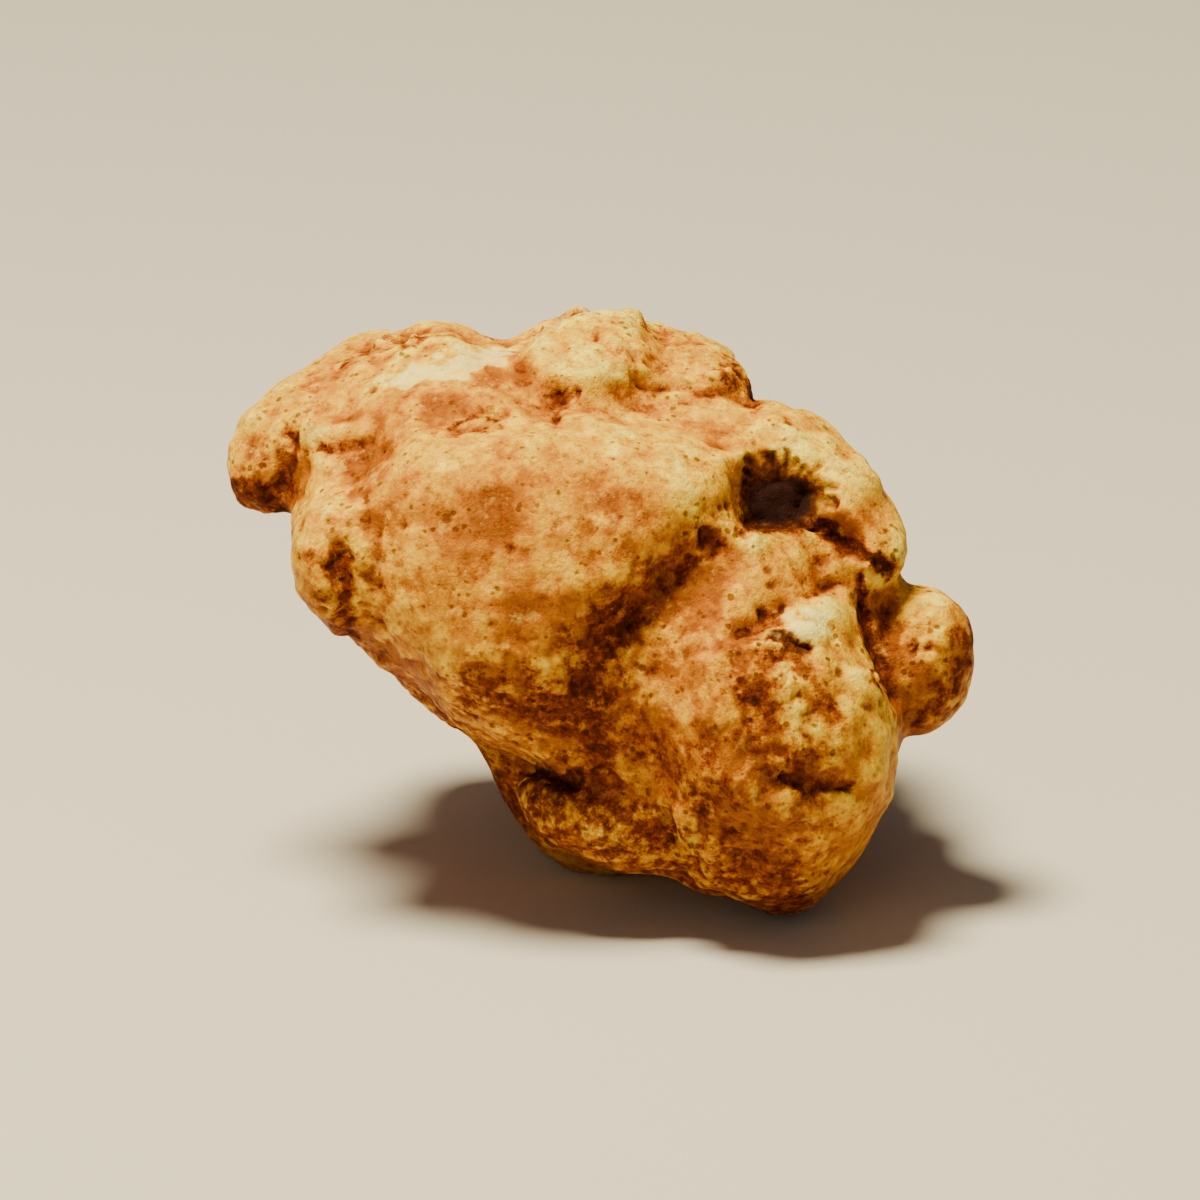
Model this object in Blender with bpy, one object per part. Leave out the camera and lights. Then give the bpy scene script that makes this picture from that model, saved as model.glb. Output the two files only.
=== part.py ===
"""A white truffle, whole and unwashed, as one solid.

The fruit body is a knobbly lump of swellings that grew into one another, with clefts where they meet.
Each swelling is an ellipsoid, and a smooth union of them all gives the skin. Strokes then press folds and
pits into it or raise ridges on it, and a low relief is laid over the whole. The lump rests on a small flat
spot under its weight.

X runs to the right, Y away from the viewer, Z up. Lengths in the tables are millimetres.
"""

from collections import namedtuple
from math import cos, radians, sin

import bmesh
import bpy
import numpy as np
from mathutils import Euler, Matrix, Vector, noise

MM = 0.001

# Driving dimensions
SKIN_EDGE = 1.15  # spacing of the points while the skin is worked out
FACETS = 10400  # about how many triangles the finished skin keeps
SPHERE_STEPS = 3  # subdivisions of the balls that the first skin is wrapped round
WRAPS = 2  # how often the skin is wrapped afresh
EVEN_ROUNDS = 4  # how often the points are evened out and moved back on to the skin
SETTLE_STEPS = 2  # how often a point is moved towards the skin in each round
FLAT_EDGE = 0.03  # points lower than this belong to the flat spot
LONGEST_MOVE = 1.5  # how far a point moves in one step at most
PROBE = 0.02  # step for measuring the slope of the field
MIDDLE = np.array((0.0, 13.0, 26.0))  # a point deep inside; strokes stay on the viewer's side of it
FACING_DEPTH = 5.0  # how far beyond that middle a stroke reaches its full height

# Low relief: broad soft bumps, then narrower and lower ones
RELIEF = ((17.0, 2.2), (8.5, 1.0), (4.4, 0.4))  # each is (width of a bump, its height)
RELIEF_SEED = Vector((3.7, 11.3, 5.9))

SKIN_COLOUR = (0.62, 0.36, 0.12, 1.0)
SKIN_ROUGHNESS = 0.62

# Each swelling: its centre, its three radii, how it leans about X, Y and Z in degrees, and the width of
# the valley where it meets the rest.
Swelling = namedtuple("Swelling", "name centre radii lean valley")

SWELLINGS = (
    Swelling("core", (1, 13, 26), (21.5, 20, 17), (0, 0, 0), 4),
    Swelling("upper core", (-7, 16, 37), (20, 18, 9), (0, 0, 0), 5),
    # the front, as the photograph shows it
    Swelling("main", (-9, 4, 31), (18.5, 17, 14.5), (0, 35, 0), 3),
    Swelling("brow", (2.5, 2, 37.2), (14, 12, 8.5), (0, 4, 0), 5),
    Swelling("nose", (13, -2, 18.6), (12.3, 14, 17.4), (0, -5, 0), 4.5),
    Swelling("hook root", (10, 7, 39.2), (8.5, 9, 5.4), (0, 10, 0), 4),
    Swelling("hook arm", (16.6, 5, 39.4), (4.6, 8, 3.9), (0, 30, 0), 3),
    Swelling("hook bend", (20.2, 4, 37.4), (3.9, 7, 3.9), (0, 40, 0), 2.5),
    Swelling("hook tip", (22.6, 3, 33.8), (3.9, 7, 4.2), (0, 0, 0), 2),
    Swelling("right knob", (27.0, 2, 23.0), (5.6, 7, 6.8), (0, 0, 0), 1.5),
    Swelling("right rear", (19.2, 13, 18.5), (8.8, 11.5, 10.5), (0, 0, 0), 4),
    Swelling("left flank", (-24, 1, 33.2), (5.1, 10, 7.8), (0, -8, 0), 1.5),
    Swelling("left knob", (-30.2, 12, 39.6), (4.0, 7, 5.2), (0, 15, 0), 1.2),
    Swelling("left shoulder", (-19.4, 15, 43.2), (11.8, 13, 6.2), (0, -14, 0), 2.0),
    Swelling("left flap", (-24.5, 6, 42.0), (4.5, 6, 2.4), (0, 5, 0), 1.2),
    Swelling("crown", (-2.8, 14, 46.0), (8.0, 11, 5.8), (0, 0, 0), 2.0),
    Swelling("crown end", (7.2, 13, 45.0), (5.8, 8, 3.9), (0, 12, 0), 1.6),
    Swelling("under lip", (-0.3, -1, 10.8), (10.2, 9, 4.6), (0, 14, 0), 1.2),
    Swelling("saddle", (0, 0, 18.5), (9, 9, 8), (0, 20, 0), 4),
    # the back and the underside
    Swelling("foot", (1.8, 14, 8.2), (10.8, 10.4, 9.6), (0, 0, 0), 4),
    Swelling("back left", (-15.5, 25, 29), (11, 11.5, 11), (0, 0, 25), 2.2),
    Swelling("back right", (11.5, 29.5, 25.5), (11.5, 11, 12), (0, 0, -15), 2.2),
    Swelling("back low", (-2.5, 29.5, 12.5), (11.5, 10, 7.5), (0, 10, 0), 2.4),
    Swelling("back top", (-2, 28, 37.5), (12, 11, 7.5), (15, 0, 10), 2.2),
    Swelling("back knob left", (-14, 27, 18), (7, 8.5, 6.5), (0, 0, 0), 1.8),
    Swelling("back knob right", (17, 26, 12.5), (7, 8, 6.5), (0, 0, 0), 1.8),
    Swelling("back button", (-6, 36, 21), (6.5, 4.5, 5), (0, -20, 0), 1.6),
    Swelling("right cheek", (19, 18, 30), (6, 9, 6.5), (0, 0, 0), 3),
)

# Each stroke is drawn on the skin as somebody looking at the truffle sees it: the side it is looked at from,
# its path in that view as (right, up), half its width, and how high it stands, or how deep it goes if less
# than nothing.
Stroke = namedtuple("Stroke", "name side path reach height")

# Each side: the angle round the truffle from the front, and the angle above the table, in degrees
FRONT = (0.0, 17.5)
BACK = (180.0, 17.5)

STROKES = (
    Stroke("crown gap", FRONT, ((6.0, 52), (4.8, 48.5)), 2.6, -0.8),
    Stroke("deep pit", FRONT, ((14.4, 37.9), (15.2, 37.1)), 4.2, -3.6),
    Stroke("under hook", FRONT, ((14, 34.8), (17.5, 34.2), (20.5, 32.8)), 2.6, -1.2),
    Stroke("valley", FRONT, ((6, 30), (3, 27.7), (0, 25.5), (-2.5, 22)), 4.5, -1.0),
    Stroke("flank cleft", FRONT, ((-24.2, 32.5), (-23, 26.5)), 2.4, -1.5),
    Stroke("flap side", FRONT, ((-28.8, 43), (-28.8, 38)), 2.0, -1.6),
    Stroke("flap top", FRONT, ((-28.3, 42), (-21, 41.5)), 2.0, -1.3),
    Stroke("crown edge", FRONT, ((-15, 43.5), (-9.6, 42.8), (-5, 45.4), (5, 46.4), (13, 46)), 2.4, -1.1),
    Stroke("knob cleft", FRONT, ((22.5, 24.4), (23.8, 20.2)), 3.0, -0.6),
    Stroke("lip crack", FRONT, ((-10, 13.1), (-3.3, 12)), 2.6, -1.8),
    Stroke("nose fold", FRONT, ((11.3, 25.6), (13.8, 27), (16.7, 28.5), (20, 29.4)), 2.4, -1.0),
    Stroke("back fold", BACK, ((0, 20), (5, 15), (12, 14)), 2.6, -1.2),
    Stroke("back pit", BACK, ((-11.5, 13),), 3.4, -2.4),
)


def axes_of(lean):
    """The rotation matrix of a lean given in degrees."""
    return Euler([radians(angle) for angle in lean]).to_matrix()


def ellipsoid_distance(points, shape):
    """How far each point is outside an ellipsoid, in mm, negative inside."""
    turned = (points - np.array(shape.centre)) @ np.array(axes_of(shape.lean))
    radii = np.array(shape.radii)
    near = np.linalg.norm(turned / radii, axis=1)
    slope = np.linalg.norm(turned / radii**2, axis=1)
    return near * (near - 1) / np.maximum(slope, 1e-9)


def smooth_least(a, b, width):
    """The lesser of two distances, with the corner between them rounded over this width."""
    share = np.maximum(width - np.abs(a - b), 0) / width
    return np.minimum(a, b) - share**2 * width / 4


def view_axes(side):
    """What is right, up and towards the viewer, for somebody looking at one side."""
    angle, height = (radians(value) for value in side)
    right = np.array((cos(angle), sin(angle), 0.0))
    towards = np.array((sin(angle) * cos(height), -cos(angle) * cos(height), sin(height)))
    return right, np.cross(towards, right), towards


def path_distance(spots, path):
    """The distance of each spot of a view from a path drawn in it."""
    corners = [np.array(corner, dtype=float) for corner in path]
    nearest = np.linalg.norm(spots - corners[0], axis=1)
    for start, end in zip(corners, corners[1:]):
        run = end - start
        share = np.clip((spots - start) @ run / (run @ run), 0.0, 1.0)
        gap = np.linalg.norm(spots - start - share[:, None] * run, axis=1)
        nearest = np.minimum(nearest, gap)
    return nearest


def stroke_height(points, stroke):
    """How much one stroke raises the skin at each point, in mm."""
    right, up, towards = view_axes(stroke.side)
    spots = np.column_stack((points @ right, points @ up))
    near = np.clip(1 - (path_distance(spots, stroke.path) / stroke.reach) ** 2, 0.0, 1.0) ** 3
    facing = np.clip(((points - MIDDLE) @ towards) / FACING_DEPTH, 0.0, 1.0)
    return stroke.height * near * facing


def skin_field(points):
    """The distance of each point from the truffle's skin, in mm, negative inside."""
    first, *others = SWELLINGS
    field = ellipsoid_distance(points, first)
    for swelling in others:
        field = smooth_least(field, ellipsoid_distance(points, swelling), swelling.valley)
    for stroke in STROKES:
        field = field - stroke_height(points, stroke)
    return field


def field_and_slope(points):
    """The field at each point, and the direction in which it grows."""
    field = skin_field(points)
    slope = np.empty_like(points)
    for axis in range(3):
        step = np.zeros(3)
        step[axis] = PROBE
        slope[:, axis] = (skin_field(points + step) - field) / PROBE
    return field, slope


def settle(points):
    """Moves each point along the slope until it lies on the skin."""
    for _ in range(SETTLE_STEPS):
        field, slope = field_and_slope(points)
        steepness = np.maximum((slope**2).sum(axis=1), 0.05)
        move = np.clip(field / steepness, -LONGEST_MOVE, LONGEST_MOVE)
        points = points - move[:, None] * slope
    return points


def evened(points, edges):
    """Moves each point half way to the middle of its neighbours."""
    total = np.zeros_like(points)
    count = np.zeros(len(points))
    for here, there in (edges.T, edges.T[::-1]):
        np.add.at(total, here, points[there])
        np.add.at(count, here, 1)
    return (points + total / count[:, None]) / 2


def coordinates(mesh):
    points = np.empty(len(mesh.vertices) * 3)
    mesh.vertices.foreach_get("co", points)
    return points.reshape(-1, 3)


def skin_points(mesh):
    """The points of a mesh wrapped round the truffle, spread evenly over its skin, in mm."""
    points = settle(coordinates(mesh))
    edges = np.array([edge.vertices for edge in mesh.edges])
    for _ in range(EVEN_ROUNDS):
        points = settle(evened(points, edges))
    return evened(points, edges)


def relief_height(point):
    """The height of the low relief at one point, in mm."""
    at = Vector(point)
    return sum(height * noise.noise(at / width + RELIEF_SEED) for width, height in RELIEF)


def add_relief(points):
    """Raises and lowers the skin along its own direction."""
    slope = field_and_slope(points)[1]
    outward = slope / np.linalg.norm(slope, axis=1)[:, None]
    heights = np.array([relief_height(point) for point in points])
    return points + outward * heights[:, None]


def changed_mesh(thing, kind, **settings):
    """A new mesh: the object's own, with one modifier applied."""
    modifier = thing.modifiers.new("Change", kind)
    for name, value in settings.items():
        setattr(modifier, name, value)
    graph = bpy.context.evaluated_depsgraph_get()
    mesh = bpy.data.meshes.new_from_object(thing.evaluated_get(graph))
    thing.modifiers.remove(modifier)
    return mesh


def balls_mesh():
    """A ball stretched to each swelling, in mm."""
    balls = bmesh.new()
    for swelling in SWELLINGS:
        place = Matrix.Translation(swelling.centre) @ axes_of(swelling.lean).to_4x4()
        stretch = Matrix.Diagonal((*swelling.radii, 1))
        bmesh.ops.create_icosphere(
            balls, subdivisions=SPHERE_STEPS, radius=1.0, matrix=place @ stretch
        )
    mesh = bpy.data.meshes.new("balls")
    balls.to_mesh(mesh)
    balls.free()
    return mesh


def centred(points):
    """Puts the origin under the middle of the truffle's box, on the surface that it rests on."""
    low, high = points.min(axis=0), points.max(axis=0)
    middle = (low + high) / 2
    return points - np.array((middle[0], middle[1], 0.0))


def skin_material():
    material = bpy.data.materials.new("truffle skin")
    material.use_nodes = True
    shader = material.node_tree.nodes["Principled BSDF"]
    shader.inputs["Base Color"].default_value = SKIN_COLOUR
    shader.inputs["Roughness"].default_value = SKIN_ROUGHNESS
    shader.inputs["Metallic"].default_value = 0.0
    return material


def make_truffle():
    truffle = bpy.data.objects.new("truffle", balls_mesh())
    bpy.context.scene.collection.objects.link(truffle)

    # wrapped again after the first settling, so that the folds and pits get points of their own
    for _ in range(WRAPS):
        mesh = changed_mesh(truffle, "REMESH", mode="VOXEL", voxel_size=SKIN_EDGE)
        points = skin_points(mesh)
        mesh.vertices.foreach_set("co", points.ravel())
        truffle.data = mesh
    points = add_relief(points)
    points[:, 2] = np.maximum(points[:, 2], 0.0)
    mesh.vertices.foreach_set("co", points.ravel())

    # fewer facets where the skin is plain, more in the folds
    corners = sum(len(face.vertices) - 2 for face in mesh.polygons)
    mesh = changed_mesh(truffle, "DECIMATE", ratio=FACETS / corners, use_collapse_triangulate=True)
    mesh.name = "truffle"
    points = coordinates(mesh)
    points[points[:, 2] < FLAT_EDGE, 2] = 0.0
    mesh.vertices.foreach_set("co", (centred(points) * MM).ravel())
    mesh.update()
    mesh.shade_smooth()
    mesh.materials.append(skin_material())
    truffle.data = mesh
    return truffle


def main():
    for old in list(bpy.data.objects):
        bpy.data.objects.remove(old)
    make_truffle()


main()
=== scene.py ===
# %% [markdown]
# # A white truffle
# The truffle is a fungus that ripens underground, pressed between roots and stones. It grows as one lump of
# swellings, with clefts where they meet. Its skin is thin and dry, cream where it is clean and ochre or rust
# where it is bruised, and soil stays in every fold.
# The solid model already has the main lobes. This script gives a finer copy of it the creases, pits, pores
# and colours, then lights it on a pale floor.

from math import cos, radians, sin

import bpy
import numpy as np
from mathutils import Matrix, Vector, noise
from mathutils.kdtree import KDTree


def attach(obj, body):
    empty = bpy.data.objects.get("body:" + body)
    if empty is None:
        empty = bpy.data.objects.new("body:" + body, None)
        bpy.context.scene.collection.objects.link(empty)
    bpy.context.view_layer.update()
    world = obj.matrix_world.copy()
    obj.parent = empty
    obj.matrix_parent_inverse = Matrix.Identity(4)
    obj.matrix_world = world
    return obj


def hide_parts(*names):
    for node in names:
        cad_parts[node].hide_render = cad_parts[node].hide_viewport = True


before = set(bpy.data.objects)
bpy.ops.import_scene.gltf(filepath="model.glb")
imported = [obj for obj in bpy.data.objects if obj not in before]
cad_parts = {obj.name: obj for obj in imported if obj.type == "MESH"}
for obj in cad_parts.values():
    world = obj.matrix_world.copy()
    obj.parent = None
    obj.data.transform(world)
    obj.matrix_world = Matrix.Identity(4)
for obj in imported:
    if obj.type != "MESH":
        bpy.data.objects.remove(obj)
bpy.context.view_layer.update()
MM = 0.001


# %% [markdown]
# ## Looking at the lump from one side
# A crease or a pit is easiest to place as a carver would: look at the lump from one side and draw on it.
# Each side has a direction to the right, one upwards and one towards the eye. The front is looked at from
# 17.5 degrees above the table. Every drawing is in millimetres from one zero near the lump's foot.

# %% The sides that marks are drawn from
FRONT = (0.0, 17.5)  # a turn round the lump and a height above the table, in degrees
BACK = (180.0, 17.5)
RIGHT_SIDE = (90.0, 10.0)
LEFT_SIDE = (270.0, 10.0)
TOP = (0.0, 80.0)
DRAWING_ZERO = np.array((1.22, -11.49, 0.0))  # mm
LUMP_MIDDLE = np.array((0.0, 1.0, 26.0))  # mm
FACING_DEPTH = 4.0  # how far past the middle, in mm, a mark reaches its full strength
NO_DRIFT = np.zeros(3)


def side_axes(side):
    """Right, up and towards the eye, for somebody who looks at one side."""
    angle, height = (radians(value) for value in side)
    right = np.array((cos(angle), sin(angle), 0.0))
    towards = np.array((sin(angle) * cos(height), -cos(angle) * cos(height), sin(height)))
    return right, np.cross(towards, right), towards


# %% How strong a drawn line is at each point
def gap_to_path(spots, path):
    """How far each spot of a drawing is from a line drawn through the path's corners."""
    corners = [np.array(corner, dtype=float) for corner in path]
    nearest = np.linalg.norm(spots - corners[0], axis=1)
    for start, end in zip(corners, corners[1:]):
        run = end - start
        share = np.clip((spots - start) @ run / (run @ run), 0.0, 1.0)
        gap = np.linalg.norm(spots - start - share[:, None] * run, axis=1)
        nearest = np.minimum(nearest, gap)
    return nearest


def drawn_share(points, drift, side, path, reach):
    """One on the path and none beyond its reach, for the points that face that side."""
    right, up, towards = side_axes(side)
    drawn = points + drift - DRAWING_ZERO
    spots = np.column_stack((drawn @ right, drawn @ up))
    share = np.clip(1 - (gap_to_path(spots, path) / reach) ** 2, 0.0, 1.0) ** 2
    return share * np.clip((points - LUMP_MIDDLE) @ towards / FACING_DEPTH, 0.0, 1.0)


# %% Shake a drawing, so that no outline is even
NOISE_SEED = 5  # without a seed of its own, a vector of noise is different in every session
noise.seed_set(NOISE_SEED)


def wander(points, width, most):
    """A smooth random shift of each point by up to about this much, in waves of this width in mm."""
    return most * np.array([noise.noise_vector(Vector(point) / width) for point in points])


# %% [markdown]
# ## The fine skin, roughed out
# The skin of a truffle flows without an edge, so facets must not show. The merged copy of the solid is
# subdivided once, which rounds it, and is then wrapped by a voxel remesh whose even squares are about half
# a millimetre. Even squares are what carving needs: every crease finds points to move.

# %% Copy the solid and round it
MERGE_GAP = 0.00001  # in metres; corners that belong together lie on each other
ROUGH_GRAIN = 0.55  # side of the first mesh's squares, in mm
SKIN_GRAIN = 0.41  # side of the finished mesh's squares, in mm


def select_only(piece):
    bpy.ops.object.select_all(action="DESELECT")
    piece.select_set(True)
    bpy.context.view_layer.objects.active = piece


def apply_modifier(piece, kind, **settings):
    select_only(piece)
    modifier = piece.modifiers.new(kind.title(), kind)
    for name, value in settings.items():
        setattr(modifier, name, value)
    bpy.ops.object.modifier_apply(modifier=modifier.name)


def count_triangles(piece):
    return sum(len(face.vertices) - 2 for face in piece.data.polygons)


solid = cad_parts["truffle"]
skin = bpy.data.objects.new("truffle_skin", solid.data.copy())
bpy.context.scene.collection.objects.link(skin)
select_only(skin)
bpy.ops.object.mode_set(mode="EDIT")
bpy.ops.mesh.select_all(action="SELECT")
bpy.ops.mesh.remove_doubles(threshold=MERGE_GAP)
bpy.ops.object.mode_set(mode="OBJECT")
apply_modifier(skin, "SUBSURF", levels=1, render_levels=1)
apply_modifier(skin, "REMESH", mode="VOXEL", voxel_size=ROUGH_GRAIN * MM)
apply_modifier(skin, "SMOOTH", factor=0.5, iterations=6)
print("roughed out:", count_triangles(skin), "triangles")


# %% [markdown]
# ## Carving the folds and pits
# Where two swellings press together the skin folds in, and where a root or a stone lay it leaves a pit.
# These could be textures, but a fold must throw a real shadow and break the outline, so the points
# themselves are moved in or out along their normals. Each stroke has a side, a path, a reach and a height.

# %% Carving tools
STROKE_WAVE = 2.2  # width in mm of the waves that shake a stroke


def get_points(piece):
    points = np.empty(len(piece.data.vertices) * 3)
    piece.data.vertices.foreach_get("co", points)
    return points.reshape(-1, 3) / MM


def get_normals(piece):
    normals = np.empty(len(piece.data.vertices) * 3)
    piece.data.vertices.foreach_get("normal", normals)
    return normals.reshape(-1, 3)


def set_points(piece, points):
    piece.data.vertices.foreach_set("co", (points * MM).ravel())
    piece.data.update()


def carve(piece, strokes, waver):
    """Raises the skin along each stroke by its height in mm, or presses it in."""
    points = get_points(piece)
    drift = wander(points, STROKE_WAVE, waver)
    heights = np.zeros(len(points))
    for side, path, reach, height in strokes:
        heights += height * drawn_share(points, drift, side, path, reach)
    set_points(piece, points + get_normals(piece) * heights[:, None])


# %% Carve the broad forms of the front
BROAD_FORMS = (
    (FRONT, ((14.6, 37.4), (15.6, 37.4)), 5.0, -0.6),  # the deep pit's wide mouth
    (FRONT, ((13.6, 36.2), (15.4, 36.4)), 2.6, -1.0),  # its throat
    (FRONT, ((12.8, 33.2), (17.0, 32.8), (20.0, 31.2)), 2.2, 0.9),  # the ledge under the hook
    (FRONT, ((8.2, 37.4), (10.0, 40.4), (14.0, 42.6), (18.4, 41.4), (22.0, 38.0)), 2.2, 0.6),  # its rim
    (FRONT, ((8.2, 33.4), (9.6, 32.6)), 1.7, -0.35),  # the small pit
    (FRONT, ((4.6, 29.6), (1.6, 27.2), (-0.8, 25.0)), 2.6, -0.35),  # the valley under the main lobe
    (FRONT, ((24.4, 30.6),), 1.5, -0.6),  # the notch over the right knob
    (FRONT, ((17.6, 25.6), (18.6, 26.2)), 3.2, 0.8),  # the flat face on the nose
    (FRONT, ((11.0, 24.7), (14.6, 27.0)), 1.4, -0.6),  # dips beside it
    (FRONT, ((11.4, 22.6), (16.4, 22.4)), 1.8, -0.5),
    (FRONT, ((12.6, 19.6), (13.6, 17.4)), 2.3, -0.6),  # hollows low on the nose
    (FRONT, ((18.2, 19.6), (19.2, 17.8)), 2.4, -0.5),
    (FRONT, ((15.8, 12.4), (18.0, 12.1), (20.2, 12.2)), 1.9, -0.6),
    (FRONT, ((10.3, 7.3),), 1.6, -0.6),
    (FRONT, ((15.6, 21.0), (16.2, 15.4)), 1.9, 0.4),  # swellings between and round them
    (FRONT, ((22.4, 21.0), (24.2, 17.0), (22.8, 12.4)), 1.8, 0.8),
    (FRONT, ((8.4, 21.8), (9.8, 16.6), (11.4, 12.0)), 2.2, 0.4),
    (FRONT, ((8.4, 13.2), (12.6, 9.8), (17.0, 8.8)), 1.9, 0.6),
    (FRONT, ((12.8, 13.8), (13.2, 11.6)), 1.6, -0.5),  # one more hollow
    (FRONT, ((-28.8, 43.0), (-28.9, 37.4)), 1.2, -0.7),  # between the left knob and the flap
    (FRONT, ((-24.3, 32.3), (-23.8, 25.6)), 1.4, -0.5),  # the flank's cleft
    (FRONT, ((-21.2, 34.0), (-21.6, 28.5)), 1.1, -0.5),
    (FRONT, ((-22.7, 35.0), (-22.5, 27.0)), 1.1, 0.5),
    (FRONT, ((-29.2, 28.6),), 1.6, 0.7),  # a nub at the flank's foot
    (FRONT, ((-27.2, 42.6), (-22.0, 42.9)), 1.4, 0.6),  # the flap's lip
    (FRONT, ((-16.0, 45.0), (-8.0, 45.9), (-3.0, 44.0)), 2.2, -0.35),  # under the shoulder
    (FRONT, ((-23.6, 41.4), (-21.6, 41.8)), 1.4, 0.6),  # and the flap's lower edge
    (FRONT, ((-28.2, 41.0),), 1.4, 0.5),
    (FRONT, ((22.7, 28.2), (23.2, 24.6)), 2.2, 1.2),  # closes the gap beside the right knob
    (FRONT, ((-5.0, 46.2), (3.0, 46.6), (9.0, 46.2), (13.0, 45.4)), 2.0, -0.3),  # under the crown
    (FRONT, ((-8.8, 50.6), (-7.6, 48.0), (-5.0, 46.2)), 1.8, -0.6),  # the foot of the crown
    (FRONT, ((-10.8, 13.0), (-7.0, 12.4)), 1.3, -0.9),  # over the wedge
    (FRONT, ((-7.0, 12.4), (-4.2, 11.6)), 0.9, -0.7),
    (FRONT, ((-1.8, 14.8), (-0.6, 10.0)), 2.0, -0.6),  # between the wedge and the nose
    (FRONT, ((4.7, 8.4), (5.6, 6.0), (7.8, 4.0)), 1.3, -1.0),  # the crease low on the nose, and its lip
    (FRONT, ((6.2, 9.4), (7.2, 6.8), (9.4, 4.8)), 1.2, 0.7),
    (FRONT, ((-24.8, 50.6),), 1.5, 0.9),  # nubs on the shoulder's rim
    (FRONT, ((-21.6, 52.2), (-20.4, 52.6)), 1.5, 1.1),
    (FRONT, ((-17.8, 52.4),), 1.4, 0.8),
    (FRONT, ((-15.0, 52.6),), 1.5, 0.9),
    (FRONT, ((-22.6, 50.0), (-17.6, 51.0)), 1.1, -0.5),
    (FRONT, ((-12.0, 52.0), (-9.0, 51.6)), 2.4, -0.6),
    (FRONT, ((-33.0, 42.0), (-31.0, 45.0)), 3.0, -0.9),  # trims the left knob
    (FRONT, ((4.8, 48.0), (5.6, 50.6)), 2.2, 0.5),  # softens the crown's rim
    (FRONT, ((-4.0, 45.8), (3.0, 46.8)), 1.9, 0.4),
)
carve(skin, BROAD_FORMS, waver=1.1)


# %% [markdown]
# ### The hidden sides
# The back, the sides and the top grew in the same way, so they get the same kinds of mark: long folds
# where swellings meet, and a few round pits. One stroke on the left raises the edge of the flank instead.

# %% Carve the folds of the hidden sides
HIDDEN_FORMS = (
    (BACK, ((-24.0, 34.0), (-20.0, 28.0), (-19.0, 20.0)), 2.0, -1.6),
    (BACK, ((-6.0, 44.0), (0.0, 41.0), (7.0, 42.0)), 1.8, -1.4),
    (BACK, ((8.0, 33.0), (13.0, 29.0), (14.0, 22.0)), 1.8, -1.5),
    (BACK, ((-14.0, 15.0), (-8.0, 12.5), (-2.0, 13.0)), 1.7, -1.4),
    (BACK, ((-12.0, 37.5),), 2.0, -1.7),
    (BACK, ((18.0, 40.0), (22.0, 36.0)), 1.6, -1.2),
    (BACK, ((4.0, 12.0), (9.0, 9.0)), 1.5, -1.1),
    (RIGHT_SIDE, ((15.0, 37.0), (20.0, 33.0), (25.0, 34.0)), 1.8, -1.4),
    (RIGHT_SIDE, ((18.0, 26.0), (21.0, 18.0), (20.0, 10.0)), 1.9, -1.6),
    (RIGHT_SIDE, ((24.0, 30.0),), 1.8, -1.4),
    (LEFT_SIDE, ((-30.0, 38.0), (-27.0, 33.0), (-21.0, 31.0)), 1.8, -1.4),
    (LEFT_SIDE, ((-26.0, 24.0), (-20.0, 19.0), (-12.0, 18.0)), 1.8, -1.4),
    (LEFT_SIDE, ((-6.0, 22.0),), 1.8, -1.3),
    (TOP, ((-16.0, 24.0), (-8.0, 22.0), (0.0, 26.0)), 1.8, -1.4),
    (TOP, ((12.0, 24.0), (16.0, 18.0)), 1.6, -1.2),
    (TOP, ((2.0, 33.0),), 1.7, -1.3),
    (LEFT_SIDE, ((-10.0, 18.0), (-4.0, 15.0), (1.0, 15.0)), 3.5, 0.9),  # fills the low left edge
)
carve(skin, HIDDEN_FORMS, waver=1.4)
apply_modifier(skin, "REMESH", mode="VOXEL", voxel_size=SKIN_GRAIN * MM)
apply_modifier(skin, "SMOOTH", factor=0.5, iterations=3)
print("carved and wrapped again:", count_triangles(skin), "triangles")


# %% [markdown]
# ## Blunt rims
# A rim that grew is blunt, but a carved stroke can leave a lip as sharp as paper. By hand one would go over
# it with a smoothing brush. Here the whole skin is smoothed, and only the points near three rims follow it.

# %% A smoothing tool
EVENING = 0.6  # how far a point moves towards its neighbours' middle in one round


def smoothed(points, edges, rounds):
    """The points moved towards their neighbours again and again, which evens the skin out."""
    here, there = edges.T
    count = np.bincount(edges.ravel(), minlength=len(points))[:, None]
    for _ in range(rounds):
        total = np.stack([
            np.bincount(here, points[there, axis], len(points))
            + np.bincount(there, points[here, axis], len(points))
            for axis in range(3)
        ], axis=1)
        points = (1 - EVENING) * points + EVENING * total / count
    return points


def get_edges(piece):
    return np.array([edge.vertices for edge in piece.data.edges])


# %% Round the rims that carving left too sharp
PIT_MIDDLE = (14.9, 36.9)
SHARP_RIMS = (
    (PIT_MIDDLE,),
    ((5.6, 51.0), (5.6, 46.6)),  # the crown's right edge
    ((-14.0, 43.2), (-9.6, 44.0)),  # over the main lobe
)
points = get_points(skin)
rounded = smoothed(points, get_edges(skin), rounds=60)
for rim in SHARP_RIMS:
    near_rim = drawn_share(points, NO_DRIFT, FRONT, rim, reach=5.5)[:, None]
    points += near_rim * (rounded - points)
set_points(skin, points)
print(len(SHARP_RIMS), "rims rounded")


# %% [markdown]
# ## Fine creases
# Some folds are no wider than a pencil line: the edge of a ledge, the short wrinkles that gather round the
# mouth of the deep pit like lashes, and the cracks at the foot of a knob. They are pressed in after the
# last remesh, which would blur them.

# %% Draw the short wrinkles round the deep pit
LASHES = 19
LASH_SPREAD = (-35.0, 150.0)  # from the right of the pit round its top, in degrees
LASH_START = 1.6  # mm from the pit's middle
LASH_END = (4.2, 0.9)  # the same, and how much it differs between them
PIT_SQUASH = 0.85  # the pit's height as a share of its width
LASH_REACH, LASH_HEIGHT = 0.5, -0.40  # mm


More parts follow.
